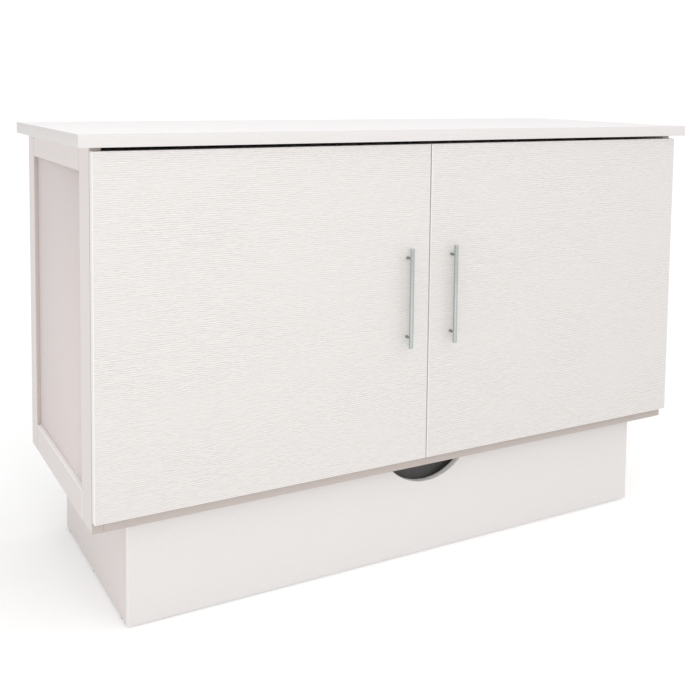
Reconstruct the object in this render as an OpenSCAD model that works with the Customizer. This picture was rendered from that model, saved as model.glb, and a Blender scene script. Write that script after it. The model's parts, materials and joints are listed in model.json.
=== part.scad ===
// Cabinet bed: a low cabinet with a three-section folding bed inside.
// The front with its two leaves is carried by the foot section and folds out
// with it; the wide drawer in the plinth rolls out and props the foot end.
// Frame: X to the right, +Y to the back, Z up, origin on the floor at the
// middle of the closed object. Millimetres.

/* [Top] */
// Width of the top slab
top_w = 1626; // [1500:1:1700]
// Depth of the top slab
top_d = 610; // [605:1:620]
// Thickness of the top slab
top_t = 26; // [18:1:30]
// Height of the upper face of the top slab
total_h = 1040; // [1036:1:1060]
// Overhang of the top slab past each side
top_side_reach = 28; // [10:1:40]
// Overhang of the top slab past the front leaves
top_front_reach = 11; // [5:1:20]

/* [Carcass] */
// Thickness of each side frame
side_t = 24; // [22:1:26]
// Width of the front stile of a side frame
front_stile = 80; // [50:1:110]
// Width of the rear stile of a side frame
rear_stile = 60; // [40:1:90]
// Width of the upper rail of a side frame
upper_rail = 54; // [40:1:80]
// Width of the lower rail of a side frame
lower_rail = 63; // [45:1:90]
// How far the side panel is set back in its frame
inset_depth = 9; // [4:1:12]
// Thickness of the set-in side panel
inset_t = 8; // [6:1:9]
// Thickness of the back panel
back_t = 9; // [6:1:10]
// How far the back panel sits in front of the rear edges
back_inset = 3; // [1:1:3]
// Thickness of the cabinet floor
floor_t = 19; // [16:1:19]
// Depth of the front part of the cabinet floor
floor_d = 350; // [300:1:360]
// Depth of the rear part of the cabinet floor
rear_rail_d = 20; // [15:1:20]

/* [Front leaves] */
// Thickness of a leaf
leaf_t = 18; // [16:1:19]
// Gap between the leaves and the carcass
leaf_gap = 1.5; // [1:0.5:2]
// Gap between the two leaves
middle_gap = 3; // [2:0.5:5]
// Gap between the leaves and the top slab
leaf_top_gap = 8; // [7:1:14]
// Height of the lower edge of the leaves above the cabinet floor's underside
leaf_overlay = 26; // [20:1:30]

/* [Handles] */
// Length of a handle bar
bar_l = 232; // [180:1:300]
// Radius of a handle bar
bar_r = 5.5; // [4:0.5:7]
// Distance between the posts of a handle
post_pitch = 184; // [128:1:220]
// How far a handle stands out from the leaf
handle_reach = 26; // [24:1:36]
// Distance of a handle from the middle of the front
handle_x = 61; // [40:1:90]
// Height of the middle of the handles
handle_z = 653; // [600:1:700]

/* [Plinth and drawer] */
// Height of the plinth
plinth_h = 236; // [220:1:250]
// How far each side of the plinth is set in from the carcass side
plinth_inset = 82; // [60:1:90]
// How far the drawer front is set back from the carcass front
plinth_setback = 36; // [20:1:45]
// Thickness of the plinth boards and of the drawer front
plinth_t = 18; // [15:1:19]
// Height of the glides under the plinth
glide_h = 3; // [2:1:5]
// Thickness of the drawer sides and back
drawer_t = 15; // [12:1:18]
// Thickness of the drawer bottom
drawer_floor_t = 12; // [9:1:15]
// Radius of the finger pull's arc
pull_r = 138; // [120:1:180]
// Depth of the finger pull below the drawer front's upper edge
pull_depth = 54; // [30:1:60]
// How far the finger pull sits to the right of the middle
pull_x = 40; // [0:1:60]
// Radius of a drawer wheel
wheel_r = 20; // [16:1:20]
// Width of a drawer wheel
wheel_w = 14; // [12:1:18]
// Distance of the wheels from the middle of the drawer
wheel_x = 600; // [500:1:640]

/* [Bed] */
// Length of each of the three bed sections
section_l = 677; // [660:1:678]
// Width of the bed deck
deck_w = 1480; // [1440:1:1480]
// Height of the deck frames
deck_t = 33; // [30:1:36]
// Thickness of the mattress
mattress_t = 148; // [140:1:148]
// Width of the mattress
mattress_w = 1472; // [1400:1:1472]
// Gap behind the mattress, both folded and unfolded
wall_gap = 20; // [20:1:22]
// Gap between a section's faces and its fold axis
fold_gap = 1; // [1:0.5:1]
// Height of the unfolded deck's underside above the cabinet floor
deck_clear = 3; // [3:1:4]
// How much higher the folded sections stand than the unfolded deck's underside
fold_rise = 62; // [58:1:62]
// Number of slats in a section
slat_count = 8; // [6:1:9]
// Width of a slat
slat_w = 52; // [40:1:56]

/* [Middle leg] */
// Radius of the leg tube
tube_r = 9; // [8:0.5:9]
// Distance of the leg's pivot from the low end of the middle section
leg_from_end = 74; // [72:1:90]
// Distance of each leg from the middle
leg_x = 640; // [500:1:660]

/* [Hidden] */
$fn = 48;

// Places of the carcass
carcass_w = top_w - 2 * top_side_reach;
front_reach = leaf_gap + leaf_t;
carcass_d = top_d - top_front_reach - front_reach;
front_y = (front_reach + handle_reach - carcass_d) / 2;
rear_y = front_y + carcass_d;
back_y = rear_y - back_inset - back_t;
under_top = total_h - top_t;
inner_x = carcass_w / 2 - side_t;
floor_z = plinth_h + floor_t;
leaf_inner_y = front_y - leaf_gap;
leaf_outer_y = front_y - front_reach;
leaf_low = plinth_h + leaf_overlay;
leaf_high = under_top - leaf_top_gap;

// Places of the plinth and of the drawer
plinth_x = carcass_w / 2 - plinth_inset;
plinth_front_y = front_y + plinth_setback;
plinth_rear_y = rear_y - 4;
drawer_gap = 2;
drawer_x = plinth_x - plinth_t - drawer_gap;
drawer_front_top = plinth_h - 4;
drawer_box_y = plinth_front_y + plinth_t;
drawer_back_y = plinth_rear_y - plinth_t - drawer_gap;
drawer_low = 2 * wheel_r + 4;
pad_h = 3;
wheel_front_y = drawer_box_y + 45;
wheel_rear_y = drawer_back_y - 45;

// Folding geometry, seen from the side: v runs forward from the back panel.
// Unfolded, the three sections lie end to end. Folded, they stand on end.
section_t = deck_t + mattress_t;
deck_z = floor_z + deck_clear;
fold_z = deck_z + fold_rise;
pivot_v = (2 * wall_gap + section_t - fold_rise) / 2;
pivot_h = wall_gap + section_t - pivot_v;
head_v = wall_gap + section_t;
middle_v = head_v + 2 * fold_gap;
foot_v = middle_v + 2 * section_t + 2 * fold_gap;
pivot_s = pivot_v - wall_gap;
rise_h = section_t + fold_gap;

// Deck frames and their fittings
deck_x = deck_w / 2;
rail_w = 40;
rebate_w = 28;
slat_t = 12;
end_gap = 0.5;
bay_rail_s = section_l - leg_from_end - 300;
plate_t = 3;
plate_step = 3.5;
outer_plate_x = deck_x + plate_step;
lug_r = 13;
pin_r = 4;
pivot_r = 6;
run_gap = 0.05;
press_gap = 0.02;
mattress_gap = 0.4;
mattress_round = 20;
leg_h = tube_r + 2;
leg_s = section_l - leg_from_end;
leg_l = deck_z + leg_h;
leg_foot_h = 8;
leg_bar_up = 60;
axle_r = 3;

// Colours
board_colour = [0.92, 0.9, 0.89];
board_shade = [0.86, 0.83, 0.82];
steel_colour = [0.62, 0.63, 0.65];
timber_colour = [0.8, 0.68, 0.5];
fabric_colour = [0.93, 0.92, 0.9];
rubber_colour = [0.16, 0.16, 0.17];
drawer_colour = [0.6, 0.6, 0.61];

// A box between two corners
module box(low, high) {
    translate(low) cube(high - low);
}

// The same shape on the right and mirrored to the left
module both_sides() {
    children();
    mirror([1, 0, 0]) children();
}

// A bar along X between two x values
module x_bar(x1, x2, y, z, r) {
    translate([x1, y, z]) rotate([0, 90, 0]) cylinder(r = r, h = x2 - x1);
}

// Places a section drawn flat: s runs from its first end, h up from its underside
module place_head() {
    translate([0, back_y - head_v, fold_z]) rotate([-90, 0, 0]) children();
}
module place_middle() {
    translate([0, back_y - middle_v, fold_z + section_l]) rotate([90, 0, 0]) children();
}
module place_foot() {
    translate([0, back_y - foot_v, fold_z]) rotate([-90, 0, 0]) children();
}

// A box in a section's own terms: x, distance s along it, height h
module s_box(low, high) {
    box([low[0], -high[1], low[2]], [high[0], -low[1], high[2]]);
}

// A bar along X in a section's own terms
module s_bar(x1, x2, s, h, r) {
    x_bar(x1, x2, -s, h, r);
}

// ---------- carcass ----------

module side_frame() {
    difference() {
        box([inner_x, front_y, plinth_h], [carcass_w / 2, rear_y, under_top]);
        box([inner_x - 1, front_y + front_stile, plinth_h + lower_rail],
            [carcass_w / 2 + 1, rear_y - rear_stile, under_top - upper_rail]);
    }
}

module side_inset() {
    box([carcass_w / 2 - inset_depth - inset_t, front_y + front_stile, plinth_h + lower_rail],
        [carcass_w / 2 - inset_depth, rear_y - rear_stile, under_top - upper_rail]);
}

module top_panel() {
    color(board_colour)
        box([-top_w / 2, rear_y - top_d, under_top], [top_w / 2, rear_y, total_h]);
}

module side_frame_left() {
    color(board_shade) mirror([1, 0, 0]) side_frame();
}

module side_frame_right() {
    color(board_shade) side_frame();
}

module side_inset_left() {
    color(board_shade) mirror([1, 0, 0]) side_inset();
}

module side_inset_right() {
    color(board_shade) side_inset();
}

module back_panel() {
    color(board_shade)
        box([-inner_x, back_y, floor_z], [inner_x, back_y + back_t, under_top]);
}

// Stretcher under the top slab, behind the folded mattress
module top_stretcher() {
    color(board_shade)
        box([-inner_x, back_y - 17, under_top - 60], [inner_x, back_y, under_top]);
}

module floor_board() {
    color(board_shade)
        box([-inner_x, front_y, plinth_h], [inner_x, front_y + floor_d, floor_z]);
}

// Rear part of the floor; the gap in front of it takes the deck's head end as it swings
module rear_rail() {
    color(board_shade)
        box([-inner_x, back_y - rear_rail_d, plinth_h], [inner_x, back_y + back_t, floor_z]);
}

module base_side() {
    box([plinth_x - plinth_t, drawer_box_y + 0.5, glide_h], [plinth_x, plinth_rear_y, plinth_h]);
}

module base_left() {
    color(board_shade) mirror([1, 0, 0]) base_side();
}

module base_right() {
    color(board_shade) base_side();
}

module base_back() {
    color(board_shade)
        box([-plinth_x + plinth_t, plinth_rear_y - plinth_t, glide_h],
            [plinth_x - plinth_t, plinth_rear_y, plinth_h]);
}

module base_glides() {
    glide_ys = [drawer_box_y + 30, (drawer_box_y + plinth_rear_y) / 2, plinth_rear_y - 30];
    color(rubber_colour) both_sides() {
        for (y = glide_ys) {
            translate([plinth_x - plinth_t / 2, y, 0]) cylinder(r = plinth_t / 2 - 0.5, h = glide_h);
        }
    }
}

// Strips on the floor board that the unfolded head section comes down on
module rest_pads() {
    color(rubber_colour) both_sides()
        box([560, front_y + 20, floor_z], [600, front_y + 320, deck_z - 0.2]);
}

module pivot_brackets() {
    plate_in = inner_x - 6;
    color(steel_colour) both_sides() {
        difference() {
            union() {
                translate([plate_in, back_y - pivot_v - 32, deck_z + pivot_h - 60]) cube([6, 64, 120]);
                x_bar(deck_x + plate_t + 1, plate_in, back_y - pivot_v, deck_z + pivot_h, 14);
            }
            x_bar(deck_x, inner_x + 1, back_y - pivot_v, deck_z + pivot_h, pivot_r + press_gap);
        }
    }
}

module pivot_pins() {
    color(steel_colour) both_sides()
        x_bar(deck_x - 2, inner_x, back_y - pivot_v, deck_z + pivot_h, pivot_r);
}

// Magnetic catches that hold the folded bed shut
module catch_magnets() {
    color(rubber_colour) both_sides()
        box([deck_x + 10, front_y + 8, 880], [inner_x, front_y + 28, 920]);
}

// ---------- bed sections ----------

// Deck frame with a rebate for the slats and a lengthwise middle rail
module deck_frame(middle_from, middle_to) {
    far = section_l - end_gap;
    difference() {
        s_box([-deck_x, end_gap, 0], [deck_x, far, deck_t]);
        s_box([-deck_x + rail_w, end_gap + rail_w, -1], [deck_x - rail_w, far - rail_w, deck_t + 1]);
        s_box([-deck_x + rebate_w, end_gap + rail_w, deck_t - slat_t], [deck_x - rebate_w, far - rail_w, deck_t + 1]);
    }
    s_box([-16, middle_from, 0], [16, middle_to, deck_t - slat_t]);
}

module slats() {
    first = end_gap + rail_w + 6;
    last = section_l - end_gap - rail_w - 6 - slat_w;
    for (i = [0 : slat_count - 1]) {
        s = first + i * (last - first) / (slat_count - 1);
        s_box([-deck_x + rebate_w + 0.3, s, deck_t - slat_t],
            [deck_x - rebate_w - 0.3, s + slat_w, deck_t - 0.2]);
    }
}

// Mattress section: a block with its long edges rounded
module mattress() {
    low = deck_t + mattress_gap;
    len = section_l - 4 * end_gap;
    r = mattress_round;
    translate([-mattress_w / 2, -2 * end_gap, low])
        rotate([90, 0, 90])
            mirror([1, 0, 0])
                linear_extrude(mattress_w) {
                    translate([r, 0]) square([len - 2 * r, mattress_t - mattress_gap]);
                    translate([0, r]) square([len, mattress_t - mattress_gap - 2 * r]);
                    for (x = [r, len - r], z = [r, mattress_t - mattress_gap - r]) {
                        translate([x, z]) circle(r = r);
                    }
                }
}

// Flat steel lug: a strip with a round eye, drawn in s and h and given its x range
module lug(x1, x2, s1, s2, h1, h2, eye_s, eye_h, hole) {
    difference() {
        union() {
            s_box([x1, s1, h1], [x2, s2, h2]);
            s_bar(x1, x2, eye_s, eye_h, lug_r);
        }
        s_bar(x1 - 1, x2 + 1, eye_s, eye_h, hole);
    }
}

module head_frame() {
    color(timber_colour) place_head()
        deck_frame(end_gap + rail_w, section_l - end_gap - rail_w);
}

module head_slats() {
    color(timber_colour) place_head() slats();
}

module head_mattress() {
    color(fabric_colour) place_head() mattress();
}

// Arms that hang the head section on the carcass pivots
module head_arms() {
    color(steel_colour) place_head() both_sides() {
        difference() {
            union() {
                s_box([deck_x, pivot_s - 24, 4], [deck_x + plate_t, pivot_s + 24, pivot_h]);
                s_bar(deck_x, deck_x + plate_t, pivot_s, pivot_h, 24);
            }
            s_bar(deck_x - 1, deck_x + plate_t + 1, pivot_s, pivot_h, pivot_r + run_gap);
        }
    }
}

module head_fold_plates() {
    color(steel_colour) place_head() both_sides()
        lug(deck_x, deck_x + plate_t, section_l - 90, section_l - 1, 4, 29,
            section_l, -fold_gap, pin_r + press_gap);
}

module fold_pins() {
    color(steel_colour) place_head() both_sides() {
        s_bar(deck_x, outer_plate_x + plate_t + 0.5, section_l, -fold_gap, pin_r);
        s_bar(outer_plate_x + plate_t + 0.3, outer_plate_x + plate_t + 3, section_l, -fold_gap, 7);
    }
}

module middle_frame() {
    color(timber_colour) place_middle() difference() {
        union() {
            deck_frame(end_gap + rail_w, bay_rail_s);
            s_box([-deck_x + rail_w, bay_rail_s - 22, 0], [deck_x - rail_w, bay_rail_s, deck_t - slat_t]);
        }
        both_sides()
            s_bar(deck_x - rail_w - 1, deck_x - rail_w + 20, leg_s, leg_h, axle_r + 2 + run_gap);
    }
}

module middle_slats() {
    color(timber_colour) place_middle() slats();
}

module middle_mattress() {
    color(fabric_colour) place_middle() mattress();
}

module middle_fold_plates() {
    color(steel_colour) place_middle() both_sides() {
        lug(outer_plate_x, outer_plate_x + plate_t, 1, 90, 4, 29, 0, -fold_gap, pin_r + run_gap);
        s_box([deck_x, 24, 4], [outer_plate_x, 90, 29]);
    }
}

// Tall brackets that put the second fold axis level with the mattress tops
module middle_brackets() {
    color(steel_colour) place_middle() both_sides() {
        lug(outer_plate_x, outer_plate_x + plate_t, section_l - 52, section_l - 9, 4, rise_h,
            section_l, rise_h, pin_r + press_gap);
        s_box([deck_x, section_l - 52, 4], [outer_plate_x, section_l - 9, 29]);
    }
}

module rise_pins() {
    color(steel_colour) place_middle() both_sides() {
        s_bar(deck_x - 1, outer_plate_x + plate_t + 0.5, section_l, rise_h, pin_r);
        s_bar(outer_plate_x + plate_t + 0.3, outer_plate_x + plate_t + 3, section_l, rise_h, 7);
    }
}

module foot_frame() {
    color(timber_colour) place_foot()
        deck_frame(end_gap + rail_w, section_l - end_gap - rail_w);
}

module foot_slats() {
    color(timber_colour) place_foot() slats();
}

module foot_mattress() {
    color(fabric_colour) place_foot() mattress();
}

module foot_brackets() {
    color(steel_colour) place_foot() both_sides()
        lug(deck_x, deck_x + plate_t, 9, 52, 4, rise_h, 0, rise_h, pin_r + run_gap);
}

module catch_plates() {
    color(steel_colour) both_sides()
        box([deck_x, front_y + 8, 885], [deck_x + 9.5, front_y + 26, 915]);
}

// ---------- middle leg ----------

module leg_frame() {
    reach = leg_l - leg_foot_h;
    color(steel_colour) place_middle() {
        s_bar(-deck_x + rail_w + 1, deck_x - rail_w - 1, leg_s, leg_h, tube_r);
        s_bar(-deck_x + rail_w - 18, deck_x - rail_w + 18, leg_s, leg_h, axle_r + 2);
        s_bar(-leg_x, leg_x, leg_s - leg_l + leg_bar_up, leg_h, tube_r);
        both_sides()
            translate([leg_x, -leg_s + reach, leg_h]) rotate([90, 0, 0]) cylinder(r = tube_r, h = reach);
    }
}

module leg_feet() {
    color(rubber_colour) place_middle() both_sides()
        translate([leg_x, -leg_s + leg_l, leg_h]) rotate([90, 0, 0])
            cylinder(r = tube_r + 0.5, h = leg_foot_h);
}

// ---------- front leaves and handles ----------

module leaf() {
    box([middle_gap / 2, leaf_outer_y, leaf_low], [carcass_w / 2, leaf_inner_y, leaf_high]);
}

module door_left() {
    color(board_colour) mirror([1, 0, 0]) leaf();
}

module door_right() {
    color(board_colour) leaf();
}

// Spacers between the foot section's rails and the leaves
module door_spacers() {
    low_z = fold_z + rail_w / 2;
    high_z = fold_z + section_l - rail_w / 2;
    color(steel_colour) both_sides() {
        for (x = [60, 390, deck_x - 20], z = [low_z, high_z]) {
            translate([x, back_y - foot_v, z]) rotate([90, 0, 0])
                cylinder(r = 12, h = back_y - foot_v - leaf_inner_y);
        }
    }
}

module handle_bar() {
    translate([handle_x, leaf_outer_y - handle_reach + bar_r, handle_z - bar_l / 2])
        cylinder(r = bar_r, h = bar_l);
}

module handle_posts() {
    difference() {
        for (z = [handle_z - post_pitch / 2, handle_z + post_pitch / 2]) {
            translate([handle_x, leaf_outer_y, z]) rotate([90, 0, 0])
                cylinder(r = 3.5, h = handle_reach - bar_r);
        }
        handle_bar();
    }
}

module handle_bar_left() {
    color(steel_colour) mirror([1, 0, 0]) handle_bar();
}

module handle_bar_right() {
    color(steel_colour) handle_bar();
}

module handle_posts_left() {
    color(steel_colour) mirror([1, 0, 0]) handle_posts();
}

module handle_posts_right() {
    color(steel_colour) handle_posts();
}

// Heads of the handle screws on the back of the leaves
module handle_screws() {
    color(steel_colour) both_sides() {
        for (z = [handle_z - post_pitch / 2, handle_z + post_pitch / 2]) {
            translate([handle_x, leaf_inner_y + 2, z]) rotate([90, 0, 0]) cylinder(r = 5, h = 2);
        }
    }
}

// ---------- drawer ----------

module drawer_front() {
    color(board_colour) difference() {
        box([-plinth_x, plinth_front_y, glide_h + 1], [plinth_x, drawer_box_y, drawer_front_top]);
        translate([pull_x, drawer_box_y + 1, drawer_front_top + pull_r - pull_depth]) rotate([90, 0, 0])
            cylinder(r = pull_r, h = plinth_t + 2, $fn = 96);
    }
}

module drawer_side() {
    box([drawer_x - drawer_t, drawer_box_y, drawer_low], [drawer_x, drawer_back_y, drawer_front_top]);
}

module drawer_side_left() {
    color(drawer_colour) mirror([1, 0, 0]) drawer_side();
}

module drawer_side_right() {
    color(drawer_colour) drawer_side();
}

module drawer_back() {
    color(drawer_colour)
        box([-drawer_x + drawer_t, drawer_back_y - drawer_t, drawer_low],
            [drawer_x - drawer_t, drawer_back_y, drawer_front_top]);
}

module drawer_bottom() {
    color(drawer_colour)
        box([-drawer_x + drawer_t, drawer_box_y, drawer_low],
            [drawer_x - drawer_t, drawer_back_y - drawer_t, drawer_low + drawer_floor_t]);
}

// Pads that the foot section's leaves rest on when the drawer is under them
module drawer_pads() {
    color(rubber_colour) both_sides() {
        for (y = [drawer_box_y + 30, drawer_back_y - 60]) {
            box([drawer_x - drawer_t + 2, y, drawer_front_top],
                [drawer_x - 2, y + 30, drawer_front_top + pad_h]);
        }
    }
}

module at_wheels() {
    for (y = [wheel_front_y, wheel_rear_y]) {
        translate([wheel_x, y, wheel_r]) children();
    }
}

module caster_housings() {
    cheek = wheel_w / 2 + 1;
    color(steel_colour) both_sides() at_wheels() difference() {
        union() {
            box([-22, -24, drawer_low - wheel_r - 2.5], [22, 24, drawer_low - wheel_r]);
            for (x = [-cheek - 2, cheek]) {
                box([x, -9, -6], [x + 2, 9, drawer_low - wheel_r - 2.5]);
            }
        }
        x_bar(-20, 20, 0, 0, axle_r + press_gap);
    }
}

module caster_axles() {
    color(steel_colour) both_sides() at_wheels() x_bar(-wheel_w / 2 - 4, wheel_w / 2 + 4, 0, 0, axle_r);
}

// A solid wheel with a hollowed face on each side
module wheel(x, y) {
    color(rubber_colour) translate([x, y, wheel_r]) rotate([0, 90, 0]) rotate_extrude() {
        translate([axle_r + run_gap, -wheel_w / 2]) square([3, wheel_w]);
        translate([axle_r + run_gap + 3, -3]) square([wheel_r - axle_r - run_gap - 7, 6]);
        translate([wheel_r - 4, -wheel_w / 2]) square([3, wheel_w]);
        translate([wheel_r - 1, -wheel_w / 2 + 1]) square([1, wheel_w - 2]);
    }
}

module wheel_front_left() {
    wheel(-wheel_x, wheel_front_y);
}

module wheel_front_right() {
    wheel(wheel_x, wheel_front_y);
}

module wheel_rear_left() {
    wheel(-wheel_x, wheel_rear_y);
}

module wheel_rear_right() {
    wheel(wheel_x, wheel_rear_y);
}

top_panel();
side_frame_left();
side_frame_right();
side_inset_left();
side_inset_right();
back_panel();
top_stretcher();
floor_board();
rear_rail();
base_left();
base_right();
base_back();
base_glides();
rest_pads();
pivot_brackets();
pivot_pins();
catch_magnets();
head_frame();
head_slats();
head_mattress();
head_arms();
head_fold_plates();
fold_pins();
middle_frame();
middle_slats();
middle_mattress();
middle_fold_plates();
middle_brackets();
rise_pins();
leg_frame();
leg_feet();
foot_frame();
foot_slats();
foot_mattress();
foot_brackets();
catch_plates();
door_left();
door_right();
door_spacers();
handle_bar_left();
handle_bar_right();
handle_posts_left();
handle_posts_right();
handle_screws();
drawer_front();
drawer_side_left();
drawer_side_right();
drawer_back();
drawer_bottom();
drawer_pads();
caster_housings();
caster_axles();
wheel_front_left();
wheel_front_right();
wheel_rear_left();
wheel_rear_right();
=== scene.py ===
"""Cabinet bed: looks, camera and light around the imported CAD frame."""
import json
import math
import bmesh
import bpy
from mathutils import Matrix, Vector

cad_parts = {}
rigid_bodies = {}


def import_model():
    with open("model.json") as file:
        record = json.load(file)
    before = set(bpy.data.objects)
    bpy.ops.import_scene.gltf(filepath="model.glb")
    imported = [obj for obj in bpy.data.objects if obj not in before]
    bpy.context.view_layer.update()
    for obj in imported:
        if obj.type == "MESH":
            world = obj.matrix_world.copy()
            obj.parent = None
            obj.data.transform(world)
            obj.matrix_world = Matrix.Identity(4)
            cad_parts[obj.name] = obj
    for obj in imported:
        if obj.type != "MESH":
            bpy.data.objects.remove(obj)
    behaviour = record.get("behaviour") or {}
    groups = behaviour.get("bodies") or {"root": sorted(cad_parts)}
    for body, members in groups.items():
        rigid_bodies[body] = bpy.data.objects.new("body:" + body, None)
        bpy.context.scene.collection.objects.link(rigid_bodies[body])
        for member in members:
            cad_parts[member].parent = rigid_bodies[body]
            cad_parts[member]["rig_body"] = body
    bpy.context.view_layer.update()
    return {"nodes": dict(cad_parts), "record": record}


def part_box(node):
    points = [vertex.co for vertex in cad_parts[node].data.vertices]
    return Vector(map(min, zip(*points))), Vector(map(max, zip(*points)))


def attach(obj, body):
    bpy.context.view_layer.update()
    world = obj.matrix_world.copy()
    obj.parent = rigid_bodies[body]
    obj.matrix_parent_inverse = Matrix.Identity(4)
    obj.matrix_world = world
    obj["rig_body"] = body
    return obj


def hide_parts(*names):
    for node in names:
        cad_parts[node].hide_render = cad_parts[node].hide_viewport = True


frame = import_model()
MM = 0.001

# ---------------------------------------------------------------- driving sizes

# Where the cabinet's side frames begin; the camera stands off from here.
CARCASS_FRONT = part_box("side_frame_left")[0].y
# From one laminate grain line to the next, and the wave texture's scale for it.
GRAIN_PITCH = 4.5 * MM
GRAIN_LINES = 2 * math.pi / (20 * GRAIN_PITCH)
# Growth-ring lines per unit of the ring noise.
TIMBER_RINGS = 5.0
# The finger pull's middle, right of the cabinet's middle.
PULL_X = 40 * MM
# The dark felt pocket put behind the pull, which stands in for the shade in the hollow behind it: width,
# depth and corner radius of its U, and its thickness.
POCKET_W = 300 * MM
POCKET_DEPTH = 34 * MM
POCKET_R = 12 * MM
FELT_T = 1.6 * MM
# How far below the drawer front's top edge the pocket starts and ends.
POCKET_TOP = 3 * MM
POCKET_FOOT = 74 * MM
# The U's straight ends, its quarter turns, its back and its whole length.
POCKET_LEG = POCKET_DEPTH - POCKET_R
POCKET_ARC = math.pi * POCKET_R / 2
POCKET_BACK = POCKET_W - 2 * POCKET_R
POCKET_LENGTH = 2 * (POCKET_LEG + POCKET_ARC) + POCKET_BACK
# The stop strip: its thickness has to fit the gap between the leaves' backs and the deck frame.
STOP_T = 1.2 * MM
STOP_HALF_W = 18 * MM
STOP_ENDS = 40 * MM
# Width of a deck frame's outer boards, and a place just past its middle rail's edge.
RAIL_W = 40 * MM
SPINE_EDGE = 17 * MM
# A back panel screw's radius, and how far the screws sit from the panel's edge.
SCREW_R = 3.6 * MM
SCREW_IN = 9 * MM
# The handle bars are drawn a little slimmer than their CAD cylinders.
BAR_SLIM = 0.9
# Each mattress section's body, and which way its top faces when the bed is folded.
SECTIONS = {
    "head": ("head_section", 1),
    "middle": ("middle_section", -1),
    "foot": ("foot_section", 1),
}
# The cover's mesh spacing and edge radius, and the pitch of its diamond quilt.
SPACING = 12 * MM
COVER_R = 18 * MM
QUILT = 120 * MM
# How far the cover may fill out on top, at its sides, and slip along its top.
PUFF = 7.6 * MM
SIDE = 2.4 * MM
SLIP = 3 * MM
# The band around the top that is sewn flat, and the half width of a stitch line.
RIM = 26 * MM
STITCH = 4.3 * MM
# How far under the top the side seam runs, and half the height of the band that it holds.
SEAM_DROP = 16 * MM
SEAM_BAND = 7 * MM
# How far in from the top and the bottom the piping runs.
TAPE_IN = 15 * MM
# How bright the world is as a light, and to the camera as a background.
WORLD_LIGHT = 0.80
WORLD_SEEN = 1.02

# ---------------------------------------------------------------- node helpers


class Shader:
    """A small wrapper that builds one node material."""

    def __init__(self, name, color, roughness, metallic=0.0, **sockets):
        self.mat = bpy.data.materials.new(name)
        self.mat.use_nodes = True
        self.nodes = self.mat.node_tree.nodes
        self.links = self.mat.node_tree.links
        self.bsdf = self.nodes["Principled BSDF"]
        self.bsdf.inputs["Base Color"].default_value = (*color, 1.0)
        self.bsdf.inputs["Roughness"].default_value = roughness
        self.bsdf.inputs["Metallic"].default_value = metallic
        for socket, value in sockets.items():
            self.bsdf.inputs[socket.replace("_", " ")].default_value = value
        coord = self.nodes.new("ShaderNodeTexCoord")
        self.coord = coord.outputs["Object"]

    def link(self, out, to):
        """Joins an output to an input."""
        self.links.new(out, to)

    def node(self, kind, **props):
        """A new node with the given settings."""
        n = self.nodes.new(kind)
        for key, value in props.items():
            setattr(n, key, value)
        return n

    def scaled(self, scale):
        """The object coordinates, scaled along each axis."""
        m = self.node("ShaderNodeMapping")
        m.inputs["Scale"].default_value = scale
        self.link(self.coord, m.inputs["Vector"])
        return m.outputs["Vector"]

    def noise(self, vector, scale=1.0, detail=2.0, roughness=0.5):
        """Soft noise between 0 and 1."""
        n = self.node("ShaderNodeTexNoise")
        n.inputs["Scale"].default_value = scale
        n.inputs["Detail"].default_value = detail
        n.inputs["Roughness"].default_value = roughness
        self.link(vector, n.inputs["Vector"])
        return n.outputs["Fac"]

    def ramp(self, fac, low, high):
        """Maps low..high of fac to black..white."""
        r = self.node("ShaderNodeValToRGB")
        e = r.color_ramp.elements
        e[0].position, e[1].position = low, high
        e[0].color, e[1].color = (0, 0, 0, 1), (1, 1, 1, 1)
        self.link(fac, r.inputs["Fac"])
        return r.outputs["Color"]

    def math(self, operation, a, b):
        """One arithmetic step on two values, each a number or another node's output."""
        m = self.node("ShaderNodeMath", operation=operation)
        for i, v in enumerate((a, b)):
            if isinstance(v, (int, float)):
                m.inputs[i].default_value = v
            else:
                self.link(v, m.inputs[i])
        return m.outputs["Value"]

    def mix(self, fac, a, b):
        """A colour between a, where fac is 0, and b, where it is 1."""
        m = self.node("ShaderNodeMix", data_type="RGBA", blend_type="MIX")
        for i, v in ((0, fac), (6, a), (7, b)):
            if isinstance(v, (int, float)):
                m.inputs[i].default_value = v
            elif isinstance(v, tuple):
                m.inputs[i].default_value = (*v, 1.0)
            else:
                self.link(v, m.inputs[i])
        return m.outputs[2]

    def bump(self, height, distance, strength):
        """A normal bent by a height, which at 1 stands distance metres proud."""
        b = self.node("ShaderNodeBump")
        b.inputs["Distance"].default_value = distance
        b.inputs["Strength"].default_value = strength
        self.link(height, b.inputs["Height"])
        return b.outputs["Normal"]

    def finish(self, color, rough, normal):
        """Links what varies over the surface; rough is None where it doesn't vary."""
        self.link(color, self.bsdf.inputs["Base Color"])
        if rough:
            self.link(rough, self.bsdf.inputs["Roughness"])
        self.link(normal, self.bsdf.inputs["Normal"])
        return self.mat


# ---------------------------------------------------------------- materials


def stretched(axis, along, across):
    """A scale, in waves per metre, that is small along the grain axis and large across it."""
    return tuple(along if a == axis else across for a in "XYZ")


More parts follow.
